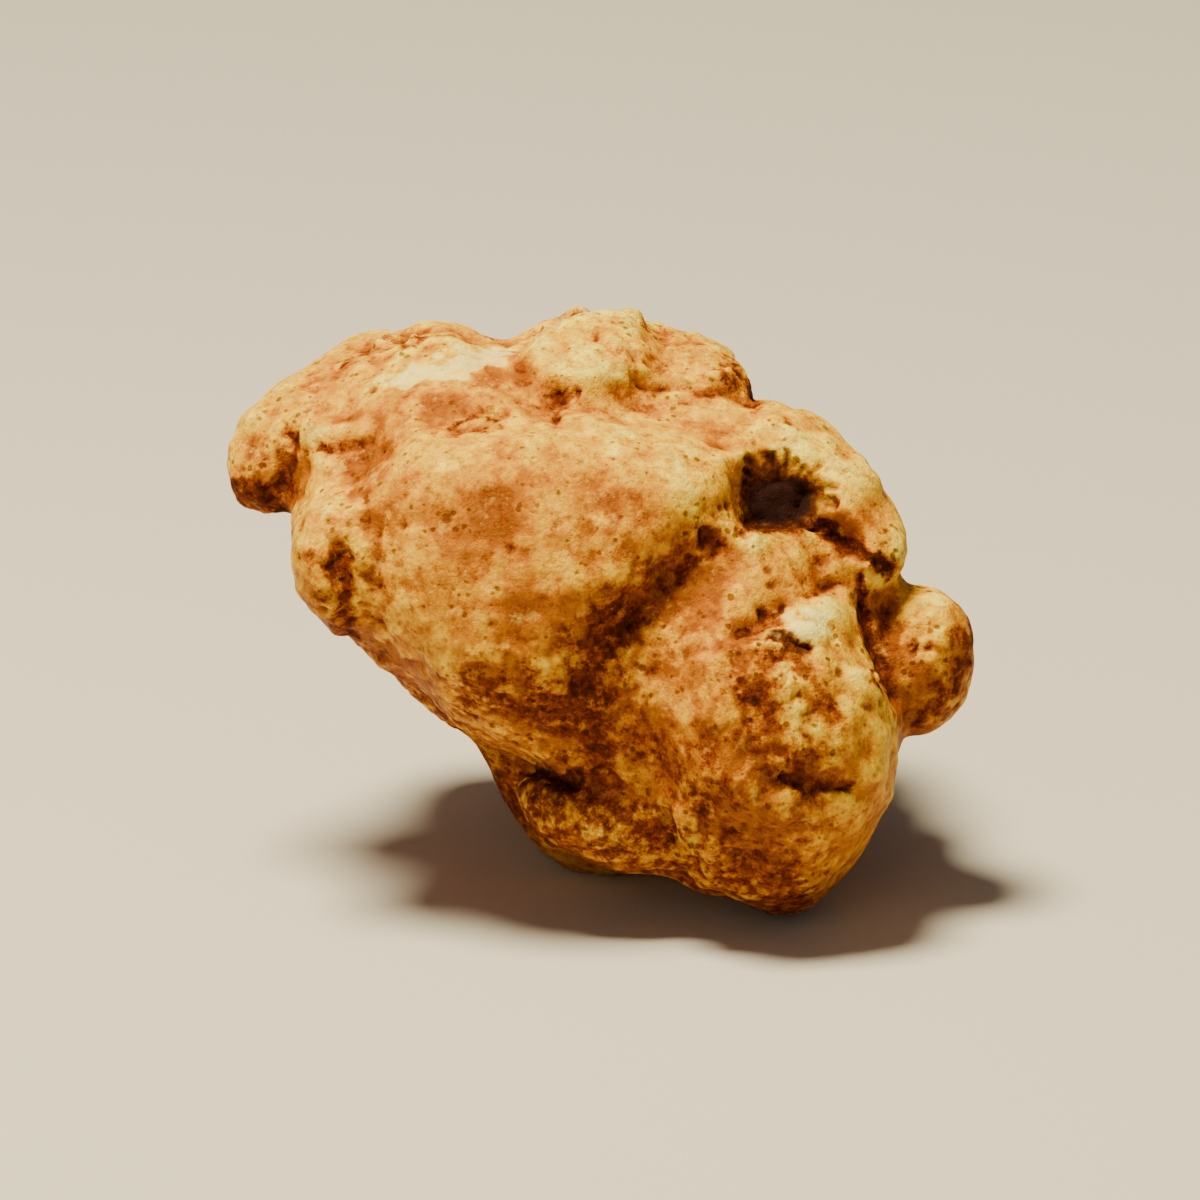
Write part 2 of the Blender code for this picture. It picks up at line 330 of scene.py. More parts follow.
def lash_paths():
    """Short lines that run from inside the pit out over its rim; a sine of the number makes them uneven."""
    first, last = LASH_SPREAD
    paths = []
    for number in range(LASHES):
        step = number + 0.45 * sin(7.0 * number)
        turn = radians(first + (last - first) * step / (LASHES - 1))
        end = LASH_END[0] + LASH_END[1] * sin(4.0 * number + 1.0)
        paths.append(tuple(
            (PIT_MIDDLE[0] + length * cos(turn), PIT_MIDDLE[1] + PIT_SQUASH * length * sin(turn))
            for length in (LASH_START, end)
        ))
    return paths


lashes = tuple((FRONT, path, LASH_REACH, LASH_HEIGHT) for path in lash_paths())
print(len(lashes), "short wrinkles round the pit")


# %% Press the fine creases in
FINE_CREASES = (
    (FRONT, ((12.2, 34.9), (15.0, 34.4), (18.4, 34.2), (20.4, 32.9), (22.1, 31.6), (24.6, 30.6)), 0.75, -0.7),
    (FRONT, ((21.9, 29.4), (22.4, 25.6), (24.0, 20.8), (25.0, 19.0)), 0.7, -0.5),
    (FRONT, ((10.8, 24.6), (12.8, 25.6), (14.8, 27.0)), 0.6, -0.3),
    (FRONT, ((16.4, 28.2), (17.8, 28.4), (19.4, 29.0)), 0.6, -0.25),
    (FRONT, ((14.7, 24.6), (15.8, 24.1), (17.4, 23.2)), 0.75, -0.6),
    (FRONT, ((15.2, 12.2), (17.6, 11.0), (20.6, 11.3)), 0.6, -0.45),
    (FRONT, ((-14.8, 42.7), (-12.0, 43.2), (-9.4, 44.2)), 0.6, -0.4),
    (FRONT, ((-28.6, 41.4), (-25.4, 41.1), (-21.6, 42.0)), 0.6, -0.3),
    (FRONT, ((-10.6, 12.8), (-7.0, 12.3), (-3.8, 11.6)), 0.7, -0.8),
    (FRONT, ((-1.8, 51.5), (0.0, 50.2), (2.2, 49.1)), 0.7, -0.4),
    (FRONT, ((-4.8, 45.8),), 0.7, -0.45),
    (FRONT, ((-3.4, 46.1),), 0.6, -0.35),
    (FRONT, ((-4.9, 44.2),), 0.6, -0.4),
    (FRONT, ((7.7, 33.9), (8.6, 33.4), (9.2, 33.6)), 0.7, -0.4),
    (FRONT, ((9.2, 32.2), (8.6, 31.4)), 0.7, -0.3),
    (FRONT, ((26.3, 23.3),), 0.8, -0.5),
    (FRONT, ((27.9, 23.3),), 0.8, -0.5),
    (FRONT, ((16.2, 12.6),), 0.7, -0.35),
    (FRONT, ((20.0, 11.3),), 0.7, -0.35),
    (FRONT, ((10.3, 7.3),), 0.7, -0.6),
    (FRONT, ((2.4, 46.9), (6.0, 46.6), (9.4, 45.9), (12.6, 45.4)), 0.7, -0.4),
    (FRONT, ((-25.6, 41.0),), 0.7, -0.4),
)
carve(skin, FINE_CREASES, waver=0.5)
carve(skin, lashes, waver=0.2)


# %% [markdown]
# ## Small relief and pores
# Close up the skin is never plain. It swells over what grows beneath it, it is rough as fine leather, and
# where it is weathered it lies in small folds. A texture could only shade these, so noise moves the points
# along their normals instead. First comes where the skin is weathered, which the colours read as well.

# %% Where the skin is weathered
PLAIN_SKIN = 0.25  # how weathered the skin is where no mark lies
MARK_WAVE = 1.8  # width in mm of the waves that shake a mark
WEATHERED = (
    (FRONT, ((-24.0, 33.0), (-22.0, 24.0)), 6.0, 1.0),
    (FRONT, ((-15.0, 18.0), (-6.0, 18.0), (0.0, 22.0), (4.0, 28.0)), 7.0, 1.0),
    (FRONT, ((-8.0, 9.0), (4.0, 6.0), (14.0, 3.0)), 7.0, 1.0),
    (FRONT, ((14.0, 22.0), (16.0, 12.0)), 8.5, 0.9),
    (FRONT, ((27.0, 23.0),), 6.0, 0.8),
    (FRONT, ((-24.0, 51.0), (-15.0, 52.6)), 3.0, 1.0),
    (FRONT, ((-31.0, 40.0), (-31.0, 36.0)), 4.0, 0.8),
    (FRONT, ((-1.0, 50.5), (9.0, 48.0)), 4.0, 0.7),
    (FRONT, ((9.0, 33.6), (16.0, 34.0), (24.0, 31.0)), 3.0, 0.7),
    (BACK, ((-18.0, 26.0), (-4.0, 18.0), (12.0, 14.0)), 9.0, 0.9),
    (BACK, ((2.0, 38.0), (12.0, 34.0)), 7.0, 0.7),
    (RIGHT_SIDE, ((12.0, 14.0), (22.0, 30.0)), 8.0, 0.8),
    (LEFT_SIDE, ((-22.0, 14.0), (-14.0, 30.0)), 8.0, 0.8),
    (TOP, ((-6.0, 26.0), (8.0, 24.0)), 6.0, 0.6),
)


def marked(points, marks, waver):
    """The strongest of the marks at each point, with their outlines shaken by the waver."""
    total = np.zeros(len(points))
    drift = wander(points, MARK_WAVE, waver)
    for side, path, reach, strength in marks:
        total = np.maximum(total, strength * drawn_share(points, drift, side, path, reach))
    return total


points = get_points(skin)
weathered = np.clip(PLAIN_SKIN + marked(points, WEATHERED, waver=3.0), 0.0, 1.0)
print("weathered:", round(float((weathered > 0.5).mean()) * 100), "% of the points")


# %% Lay the small relief over the skin
SWELL = ((6.5, 0.50), (3.2, 0.22), (1.7, 0.12))  # width of a wave and its height, in mm
FINE_GRAIN = ((1.7, 0.16), (0.95, 0.16))
FOLD_WIDTH, FOLD_HEIGHT = 2.7, 0.75  # mm
FOLD_CUT = 0.3  # the noise at which a fold's top is cut flat


def relief(points, waves, shift):
    """Waves of noise added up; the shift reads another part of it, so that no two layers line up."""
    total = np.zeros(len(points))
    for width, height in waves:
        total += height * np.array([noise.noise(Vector(point) / width + shift) for point in points])
    return total


heights = relief(points, SWELL, Vector((4, 7, 1)))
heights += weathered * relief(points, FINE_GRAIN, Vector((2, 8, 3)))
shaken_points = points + wander(points, width=1.6, most=0.8)
# without its sign the noise has a sharp valley wherever it crosses zero, and that is a fold
folds = np.abs(relief(shaken_points, ((FOLD_WIDTH, 1.0),), Vector((6, 1, 7))))
heights += FOLD_HEIGHT * weathered * (np.clip(folds, 0.0, FOLD_CUT) - FOLD_CUT / 2)
set_points(skin, points + get_normals(skin) * heights[:, None])
print("relief between", round(heights.min(), 2), "and", round(heights.max(), 2), "mm")


# %% [markdown]
# ### Pores
# Soil animals nibble at the skin and grains of grit fall out of it, which leaves round pores with soft
# rims. Each is pressed in round a point that a seeded draw picks, so every run has the same ones.

# %% Press the pores in
PORES = 300
PORE_REACH = (0.42, 0.75)  # mm
PORE_DEPTH = (0.25, 0.5)  # as a share of the reach
PORE_SHIFT = 0.1  # mm off the point that was picked
PORE_SEED = 41
rng = np.random.default_rng(PORE_SEED)

points = get_points(skin)
normals = get_normals(skin)
tree = KDTree(len(points))
for row, point in enumerate(points):
    tree.insert(point, row)
tree.balance()
pore_depth = np.zeros(len(points))
for row in rng.choice(len(points), size=PORES, replace=False):
    reach = rng.uniform(*PORE_REACH)
    deep = reach * rng.uniform(*PORE_DEPTH)
    middle = points[row] + rng.normal(0.0, PORE_SHIFT, 3)
    for _, near, gap in tree.find_range(middle, reach):
        pore_depth[near] = max(pore_depth[near], deep * (1 - (gap / reach) ** 2))
points -= normals * pore_depth[:, None]
points[:, 2] = np.maximum(points[:, 2], 0.0)  # nothing goes below the table
set_points(skin, points)
print(PORES, "pores")


# %% [markdown]
# ## Where soil stays, and where light and shade are painted
# Soil packs into hollows. Proud places, fine ridges and upward faces are painted lighter, and hollows and
# undersides darker, as painted light and shade.
# How hollow a place is can be measured: smooth the mesh, and see whether the point lay under or over it.
# The result is kept in attributes on the points, which the material reads.

# %% Measure hollows
def hollowness(points, normals, edges, rounds):
    """How far each point lies under the smoothed skin in mm, and less than zero where it stands proud."""
    return ((smoothed(points, edges, rounds) - points) * normals).sum(axis=1)


points = get_points(skin)
normals = get_normals(skin)
edges = get_edges(skin)
fine_hollow = hollowness(points, normals, edges, rounds=14)
broad_hollow = hollowness(points, normals, edges, rounds=180)
print("fine hollows to", round(fine_hollow.max(), 2), "mm, broad ones to", round(broad_hollow.max(), 2), "mm")


# %% [markdown]
# ### Marks that form alone doesn't explain
# Some clefts hold more soil than others, and a bruise turns rust anywhere. Some soil and rust marks are
# painted shade instead, round the foot and under the knobs, and the pale marks are partly scuffed cream skin
# and partly painted highlights. They are drawn like the strokes: a side, a path, a reach in mm and a
# strength.

# %% Where soil lies, and where shade is painted as soil
SOIL_AND_SHADE_MARKS = (
    (FRONT, ((13.8, 36.4), (15.6, 36.8)), 4.0, 0.9),
    (FRONT, ((8.0, 33.6), (9.2, 32.4)), 1.7, 0.75),
    (FRONT, ((7.4, 31.6), (5.0, 29.4)), 1.2, 0.6),
    (FRONT, ((12.2, 34.8), (18.2, 34.2), (20.4, 32.9), (24.6, 30.5)), 1.2, 0.75),
    # the valley under the main lobe: soil, darkened further as painted shade
    (FRONT, ((6.8, 31.2), (3.0, 28.6), (0.4, 26.4)), 2.6, 0.42),
    (FRONT, ((0.4, 26.4), (-1.6, 23.5), (-2.6, 20.0)), 4.4, 0.7),
    (FRONT, ((-2.6, 20.0), (-1.7, 16.0), (-1.0, 13.0)), 4.6, 0.65),
    (FRONT, ((-12.0, 19.6), (-6.8, 19.0), (-3.0, 17.0)), 3.8, 0.6),
    (FRONT, ((-10.6, 12.8), (-3.8, 11.6)), 1.5, 1.0),
    # painted shade: the dark gap under the main lobe's lower edge, at the foot of the lump
    (FRONT, ((-15.0, 14.5), (-12.0, 10.5), (-8.5, 6.5), (-4.0, 3.0)), 3.0, 1.0),
    # painted shade on the lower left, where the main lobe turns under
    (FRONT, ((-21.5, 22.0), (-16.5, 16.5), (-12.5, 13.5)), 2.6, 0.6),
    (FRONT, ((13.0, 22.5), (13.5, 15.0), (18.0, 13.0)), 4.5, 0.38),
    (FRONT, ((-8.0, 10.6), (-2.0, 9.0), (3.6, 7.0)), 4.4, 0.6),
    # painted shade along the foot of the front
    (FRONT, ((-6.0, 8.0), (5.0, 5.0), (15.0, 1.0)), 8.0, 0.5),
    (FRONT, ((2.0, 16.0), (6.0, 12.0), (9.0, 9.0)), 4.0, 0.42),
    (FRONT, ((-24.3, 32.0), (-23.8, 25.0)), 2.2, 0.65),
    (FRONT, ((-28.8, 42.4), (-28.9, 37.0)), 1.2, 0.7),
    (FRONT, ((10.6, 48.0), (12.2, 46.6)), 2.2, 0.7),
    (FRONT, ((12.4, 19.6), (13.7, 17.4)), 1.9, 0.6),
    (FRONT, ((18.2, 19.4), (19.2, 17.8)), 1.8, 0.5),
    (FRONT, ((15.2, 12.0), (17.8, 11.0), (20.6, 11.2)), 1.1, 0.7),
    (FRONT, ((21.9, 29.4), (22.4, 25.6), (24.0, 20.8)), 0.8, 0.8),
    (FRONT, ((14.7, 24.6), (15.8, 24.1), (17.4, 23.2)), 1.0, 0.95),
    (FRONT, ((11.4, 24.5), (14.4, 26.4)), 0.8, 0.55),
    (FRONT, ((13.9, 22.3),), 1.3, 0.55),
    (FRONT, ((11.9, 19.6), (12.8, 17.8)), 1.2, 0.8),
    (FRONT, ((19.1, 18.1),), 1.2, 0.7),
    (FRONT, ((18.5, 14.7),), 1.5, 0.4),
    (FRONT, ((15.5, 12.0),), 1.0, 0.85),
    (FRONT, ((10.5, 7.4),), 1.0, 0.85),
    # painted shade on the right knob's right rim and underside
    (FRONT, ((31.4, 25.0), (31.2, 21.0), (27.0, 17.0)), 2.4, 0.55),
    (FRONT, ((25.1, 23.5),), 0.8, 0.6),
    (FRONT, ((27.5, 23.1),), 0.8, 0.7),
    (FRONT, ((-24.7, 50.7),), 1.1, 0.7),
    (FRONT, ((-23.8, 48.9),), 0.9, 0.7),
    (FRONT, ((-21.1, 51.8), (-17.9, 51.2)), 1.1, 0.8),
    (FRONT, ((-15.2, 52.2),), 0.9, 0.7),
    (FRONT, ((-15.0, 43.2), (-10.0, 43.9)), 0.8, 0.6),
    (FRONT, ((-4.7, 45.7),), 0.8, 0.9),
    (FRONT, ((-3.4, 46.2),), 0.7, 0.8),
    (FRONT, ((-25.7, 41.1),), 0.7, 0.9),
    # painted shade under the left knob
    (FRONT, ((-33.0, 37.6), (-30.0, 36.8)), 2.2, 0.9),
    (FRONT, ((8.0, 15.0), (9.0, 11.0)), 2.4, 0.45),
    (BACK, ((-10.0, 30.0), (-4.0, 26.0), (2.0, 27.0), (8.0, 20.0)), 2.4, 0.7),
    (BACK, ((-24.0, 34.0), (-20.0, 28.0), (-19.0, 20.0)), 2.0, 0.6),
    (BACK, ((3.0, 34.0),), 3.2, 0.9),
    (RIGHT_SIDE, ((18.0, 26.0), (21.0, 18.0), (20.0, 10.0)), 2.4, 0.6),
    (LEFT_SIDE, ((-26.0, 24.0), (-20.0, 19.0), (-12.0, 18.0)), 2.4, 0.6),
    # painted shade round the foot on the hidden sides, darker towards the bottom
    (LEFT_SIDE, ((-24.0, 5.0), (-14.0, 7.0), (-6.0, 4.0)), 9.0, 0.75),
    (RIGHT_SIDE, ((8.0, 2.0), (22.0, 4.0)), 7.0, 0.6),
    (BACK, ((-8.0, -6.0), (8.0, -6.0)), 8.0, 0.6),
    (TOP, ((-16.0, 24.0), (-8.0, 22.0), (0.0, 26.0)), 1.8, 0.5),
)


# %% Where the skin is bruised to rust, and where shade is painted in rust
RUST_AND_SHADE_MARKS = (
    (FRONT, ((-14.0, 33.0), (-6.0, 35.5), (0.0, 33.0)), 9.0, 0.8),
    (FRONT, ((-8.0, 28.5), (-3.0, 26.5)), 4.0, 0.8),
    (FRONT, ((-20.0, 44.6), (-14.0, 46.0), (-8.6, 47.4)), 2.6, 0.5),
    (FRONT, ((17.5, 29.6),), 2.2, 0.9),
    (FRONT, ((-2.0, 51.6), (0.4, 50.2), (2.6, 48.8)), 2.2, 0.6),
    (FRONT, ((8.0, 47.4), (12.0, 46.6)), 2.6, 0.7),
    (FRONT, ((-26.6, 34.0), (-26.0, 27.0)), 3.0, 0.6),
    (FRONT, ((20.8, 34.6), (23.2, 33.2)), 2.8, 0.9),
    # painted shade on the right knob's right rim and lower part
    (FRONT, ((30.6, 27.0), (31.6, 23.0), (29.0, 18.0)), 2.6, 1.0),
    (FRONT, ((26.0, 22.0), (28.0, 18.6)), 5.0, 0.8),
    (FRONT, ((8.0, 10.0), (14.0, 4.0)), 4.0, 0.5),
    (FRONT, ((9.0, 24.0), (8.5, 15.0), (16.0, 9.0)), 6.0, 0.65),
    (FRONT, ((18.0, 20.0), (19.0, 15.0)), 3.5, 0.5),
    (FRONT, ((-32.0, 41.0), (-31.0, 38.0)), 2.6, 0.6),
    (BACK, ((10.0, 30.0),), 6.0, 0.5),
    (RIGHT_SIDE, ((20.0, 24.0),), 5.0, 0.5),
    (LEFT_SIDE, ((-18.0, 28.0),), 5.0, 0.5),
)


# %% Where it is pale: partly cream skin, partly painted highlights
PALE_AND_HIGHLIGHT_MARKS = (
    # painted highlight: the bright streak along the shoulder
    (FRONT, ((-18.4, 47.6), (-15.0, 48.2), (-9.8, 49.8)), 2.1, 1.5),
    (FRONT, ((-27.0, 38.4), (-23.0, 38.0)), 1.6, 0.6),
    (FRONT, ((-15.0, 41.0), (-8.0, 42.0), (-3.0, 42.4), (6.0, 43.0)), 3.4, 0.7),
    (FRONT, ((0.0, 44.6), (6.0, 45.0), (12.0, 43.6), (18.0, 40.6)), 2.8, 0.75),
    (FRONT, ((13.0, 32.8), (17.0, 32.2), (20.0, 30.6)), 2.2, 0.6),
    # painted highlight: the bright flat face on the nose
    (FRONT, ((15.8, 25.6), (17.4, 25.0), (18.8, 26.6)), 2.2, 1.3),
    (FRONT, ((-27.6, 42.4), (-22.0, 42.8)), 1.6, 0.6),
    (FRONT, ((-7.0, 51.0), (0.0, 52.6)), 1.8, 0.5),
    # painted highlights: the lip of the low crease and the bright right edge of the nose
    (FRONT, ((6.4, 9.2), (7.4, 6.8), (9.0, 5.2)), 0.9, 0.7),
    (FRONT, ((23.6, 19.6), (25.0, 16.4), (23.6, 13.2)), 1.1, 0.7),
    # the tops of the hidden sides are painted lighter, as light from above falls
    (BACK, ((-8.0, 46.0), (4.0, 47.0)), 4.0, 0.6),
    (TOP, ((-14.0, 18.0), (4.0, 20.0)), 6.0, 0.5),
)


# %% The painted shade of the deep pit and of the wrinkles round it
LASH_DARKNESS = (0.46, 0.18)  # and how much it differs between them

pit_painted_shade = drawn_share(points, NO_DRIFT, FRONT, ((13.6, 36.4), (15.8, 36.6)), reach=3.9)
lash_drift = wander(points, width=1.2, most=0.2)
for number, (_, path, reach, _) in enumerate(lashes):
    darkness = LASH_DARKNESS[0] + LASH_DARKNESS[1] * sin(3.0 * number)
    pit_painted_shade = np.maximum(pit_painted_shade, darkness * drawn_share(points, lash_drift, FRONT, path, reach))
print("the dark covers", round(float((pit_painted_shade > 0.4).mean()) * 100, 1), "% of the points")


# %% Keep all of it on the points
BROAD_RANGE, FINE_RANGE = 1.8, 0.24  # mm between the hollow and the proud place that count in full
FULL_PORE = 0.3  # mm of depth


def filled(hollow, start, span, most):
    """Soil in a hollow: none down to the start, then more and more over the span, in mm."""
    return np.clip((hollow - start) / span, 0.0, most)


def keep(piece, name, values):
    layer = piece.data.attributes.new(name, "FLOAT", "POINT")
    layer.data.foreach_set("value", np.clip(values, 0.0, 1.0).astype(np.float32))


soil_and_shade = marked(points, SOIL_AND_SHADE_MARKS, waver=1.6)
soil_and_shade = np.maximum(soil_and_shade, filled(broad_hollow, start=0.40, span=1.6, most=0.7))
soil_and_shade = np.maximum(soil_and_shade, filled(fine_hollow, start=0.09, span=0.28, most=0.75))
facing_up = np.clip(0.55 + 0.6 * normals[:, 2], 0.0, 1.0)  # painted light: what faces up is painted lighter and the undersides darker, as light from above falls
keep(skin, "soil_and_shade", soil_and_shade)
keep(skin, "pit_painted_shade", pit_painted_shade)
keep(skin, "rust_and_shade", marked(points, RUST_AND_SHADE_MARKS, waver=1.4))
keep(skin, "pale", marked(points, PALE_AND_HIGHLIGHT_MARKS, waver=1.8))
# painted light and shade: proud places that face up are painted lighter, hollows and undersides darker
keep(skin, "proud", np.clip(0.5 - broad_hollow / BROAD_RANGE, 0.0, 1.0) * facing_up)
# painted highlight on fine ridges and painted shade in fine hollows
keep(skin, "ridge", 0.5 - fine_hollow / FINE_RANGE)
keep(skin, "pore", pore_depth / FULL_PORE)
keep(skin, "weathered", weathered)
print("soil covers", round(float((soil_and_shade > 0.4).mean()) * 100), "% of the points")


# %% [markdown]
# ## Finish: dry truffle skin
# The skin is a dry, thin rind of packed threads, like suede that was brushed. It scatters light a little,
# so a grazing light never shines on it as on plastic. Its colour comes in layers: patches from rust to
# cream with painted light and shade in them, a finer mottling, brown specks, soil in the hollows, painted
# shade round the foot, and pale scuffs with painted highlights on the proud places. Each layer is mixed
# over the one before, and every scale is one over the real width of what it draws.

# %% Colours and the node helper
def colour(code):
    """A linear colour from an sRGB hex code."""
    parts = [int(code[at:at + 2], 16) / 255 for at in (1, 3, 5)]
    return (*(part / 12.92 if part <= 0.04045 else ((part + 0.055) / 1.055) ** 2.4 for part in parts), 1.0)


def add_node(tree, kind, inputs, **settings):
    """A new node; each of its inputs is given a value, or another node's output to follow."""
    node = tree.nodes.new(kind)
    for name, value in settings.items():
        setattr(node, name, value)
    for socket, source in inputs.items():
        if isinstance(source, bpy.types.NodeSocket):
            tree.links.new(source, node.inputs[socket])
        else:
            node.inputs[socket].default_value = source
    return node


def set_ramp(node, stops):
    """Puts the colour ramp's stops at their places."""
    ramp = node.color_ramp
    while len(ramp.elements) > 1:
        ramp.elements.remove(ramp.elements[-1])
    ramp.elements[0].position, ramp.elements[0].color = stops[0][0], colour(stops[0][1])
    for position, code in stops[1:]:
        ramp.elements.new(position).color = colour(code)


# A colour mix has its share at input 0 and its colours at inputs 6 and 7, and gives the result at output 2.
# A range has its value at input 0, then from, to, new from and new to, and is cut off at both ends.
MIX, RANGE, NOISE, MATH = "ShaderNodeMix", "ShaderNodeMapRange", "ShaderNodeTexNoise", "ShaderNodeMath"


# %% [markdown]
# ### Patches
# Each swelling has its own tint, because it ripened at its own pace and lay against its own stone. Waves
# about a centimetre wide give that. Proud places facing up and fine ridges are painted towards cream, and
# hollows and undersides towards rust, as painted light and shade. The pale marks push it towards cream,
# partly as painted highlights, and rust marks push it back, partly as painted shade. Weathered skin is
# also mottled every two millimetres, more than plain skin.

# %% Patches of cream, ochre and rust
truffle_skin = bpy.data.materials.new("dry_truffle_skin")
truffle_skin.use_nodes = True
rind = truffle_skin.node_tree
shader = rind.nodes["Principled BSDF"]
place = add_node(rind, "ShaderNodeTexCoord", {}).outputs["Object"]
kept = {
    name: add_node(rind, "ShaderNodeAttribute", {}, attribute_name=name).outputs["Fac"]
    for name in ("soil_and_shade", "pit_painted_shade", "rust_and_shade", "pale", "proud", "ridge", "pore", "weathered")
}

wide = add_node(rind, NOISE, {"Vector": place, "Scale": 1 / (9.5 * MM), "Detail": 4.0, "Roughness": 0.6})
# painted light and shade: proud upward faces lighten the tint, hollows and undersides darken it
painted_light_lift = add_node(rind, RANGE, {0: kept["proud"], 3: -0.22, 4: 0.18})
tint = add_node(rind, MATH, {0: wide.outputs["Fac"], 1: painted_light_lift.outputs[0]}, operation="ADD")
# fine ridges painted lighter and fine hollows darker, as painted highlight and shade
tint = add_node(rind, MATH, {0: kept["ridge"], 1: 0.32, 2: tint.outputs[0]}, operation="MULTIPLY_ADD")
tint = add_node(rind, MATH, {0: tint.outputs[0], 1: 0.16}, operation="SUBTRACT")
tint = add_node(rind, MATH, {0: kept["pale"], 1: 0.24, 2: tint.outputs[0]}, operation="MULTIPLY_ADD")
tint = add_node(rind, MATH, {0: kept["rust_and_shade"], 1: -0.30, 2: tint.outputs[0]}, operation="MULTIPLY_ADD")
mottle = add_node(rind, NOISE, {"Vector": place, "Scale": 1 / (2.2 * MM), "Detail": 4.0, "Roughness": 0.7})
swing = add_node(rind, MATH, {0: mottle.outputs["Fac"], 1: 0.5}, operation="SUBTRACT")
strength = add_node(rind, RANGE, {0: kept["weathered"], 3: 0.35, 4: 1.5})
tint = add_node(
    rind, MATH, {0: swing.outputs[0], 1: strength.outputs[0], 2: tint.outputs[0]}, operation="MULTIPLY_ADD",
)
patches = add_node(rind, "ShaderNodeValToRGB", {"Fac": tint.outputs[0]})
set_ramp(patches, (
    (0.22, "#904404"), (0.36, "#bd6c02"), (0.48, "#df9802"),
    (0.61, "#f0b404"), (0.75, "#fbc912"), (0.90, "#ffe652"),
))


# %% [markdown]
# ### Mottling and specks
# Within a patch the skin is clouded with ochre, flecked with yellow and dusted with brown. It is also
# peppered with brown specks a few tenths of a millimetre wide, thick in some places and rare in others.
# Each speck sits in a cell of its own, and the cells are shaken a little, so that no two are alike.

# %% Clouds, flecks and dust
cloud = add_node(rind, NOISE, {"Vector": place, "Scale": 1 / (1.9 * MM), "Detail": 5.0, "Roughness": 0.68})
cloud_share = add_node(rind, RANGE, {0: cloud.outputs["Fac"], 1: 0.42, 2: 0.70, 3: 0.0, 4: 0.70})
clouded = add_node(
    rind, MIX, {0: cloud_share.outputs[0], 6: patches.outputs["Color"], 7: colour("#ae6c04")},
    data_type="RGBA",
)
fleck_share = add_node(rind, RANGE, {0: cloud.outputs["Fac"], 1: 0.30, 2: 0.44, 3: 0.45, 4: 0.0})
flecked = add_node(
    rind, MIX, {0: fleck_share.outputs[0], 6: clouded.outputs[2], 7: colour("#ffd34c")}, data_type="RGBA",
)
dust = add_node(rind, NOISE, {"Vector": place, "Scale": 1 / (0.55 * MM), "Detail": 3.0, "Roughness": 0.6})
dust_share = add_node(rind, RANGE, {0: dust.outputs["Fac"], 1: 0.30, 2: 0.52, 3: 0.35, 4: 0.0})
dusty = add_node(
    rind, MIX, {0: dust_share.outputs[0], 6: flecked.outputs[2], 7: colour("#8e520a")}, data_type="RGBA",
)


# %% Specks
crowd = add_node(rind, NOISE, {"Vector": place, "Scale": 1 / (4.5 * MM), "Detail": 2.0})
crowded = add_node(
    rind, MATH, {0: kept["weathered"], 1: 0.16, 2: crowd.outputs["Fac"]}, operation="MULTIPLY_ADD",
)
speck_reach = add_node(rind, RANGE, {0: crowded.outputs[0], 1: 0.38, 2: 0.78, 3: 0.08, 4: 0.34})
jitter = add_node(rind, NOISE, {"Vector": place, "Scale": 1 / (0.5 * MM), "Detail": 2.0})
shaken = add_node(
    rind, "ShaderNodeVectorMath", {0: jitter.outputs["Color"], 1: (0.4 * MM,) * 3, 2: place},
    operation="MULTIPLY_ADD",
)
pepper = add_node(
    rind, "ShaderNodeTexVoronoi", {"Vector": shaken.outputs[0], "Scale": 1 / (1.15 * MM)}, feature="F1",
)
inside = add_node(
    rind, MATH, {0: speck_reach.outputs[0], 1: pepper.outputs["Distance"]}, operation="SUBTRACT",
)
specks = add_node(rind, RANGE, {0: inside.outputs[0], 1: 0.0, 2: 0.12, 3: 0.0, 4: 0.72})
specked = add_node(
    rind, MIX, {0: specks.outputs[0], 6: dusty.outputs[2], 7: colour("#5a2006")}, data_type="RGBA",
)


# %% [markdown]
# ### Soil, and painted shade
# Soil is in every hollow, from a thin brown stain at its edge to dark crumbs in the middle. The same
# attribute also carries painted shade round the foot and under the knobs. It is broken up with a rough
# noise, and its value is used twice: low values stain, high ones cover.
# A stain lets the mottling show through, so it multiplies. Crumbs hide the skin, so they are mixed in.

# %% Stain and soil, with the painted shade they carry
ragged = add_node(rind, NOISE, {"Vector": place, "Scale": 1 / (1.15 * MM), "Detail": 5.0, "Roughness": 0.72})
ragged_shift = add_node(rind, RANGE, {0: ragged.outputs["Fac"], 1: 0.28, 2: 0.72, 3: -0.56, 4: 0.56})
dirt_and_shade = add_node(rind, MATH, {0: kept["soil_and_shade"], 1: ragged_shift.outputs[0]}, operation="ADD")
stain_and_shade_share = add_node(rind, RANGE, {0: dirt_and_shade.outputs[0], 1: 0.05, 2: 0.60, 3: 0.0, 4: 0.95})
stained_and_shaded = add_node(
    rind, MIX, {0: stain_and_shade_share.outputs[0], 6: specked.outputs[2], 7: colour("#a8622a")}, data_type="RGBA",
    blend_type="MULTIPLY",
)
crumb = add_node(rind, NOISE, {"Vector": place, "Scale": 1 / (0.8 * MM), "Detail": 4.0})
earth = add_node(rind, "ShaderNodeValToRGB", {"Fac": crumb.outputs["Fac"]})
set_ramp(earth, ((0.35, "#1e0c04"), (0.52, "#451e08"), (0.68, "#7a3a10")))
soil_and_shade_share = add_node(rind, RANGE, {0: dirt_and_shade.outputs[0], 1: 0.48, 2: 0.85, 3: 0.0, 4: 0.92})
soiled_and_shaded = add_node(
    rind, MIX, {0: soil_and_shade_share.outputs[0], 6: stained_and_shaded.outputs[2], 7: earth.outputs["Color"]},
    data_type="RGBA",
)


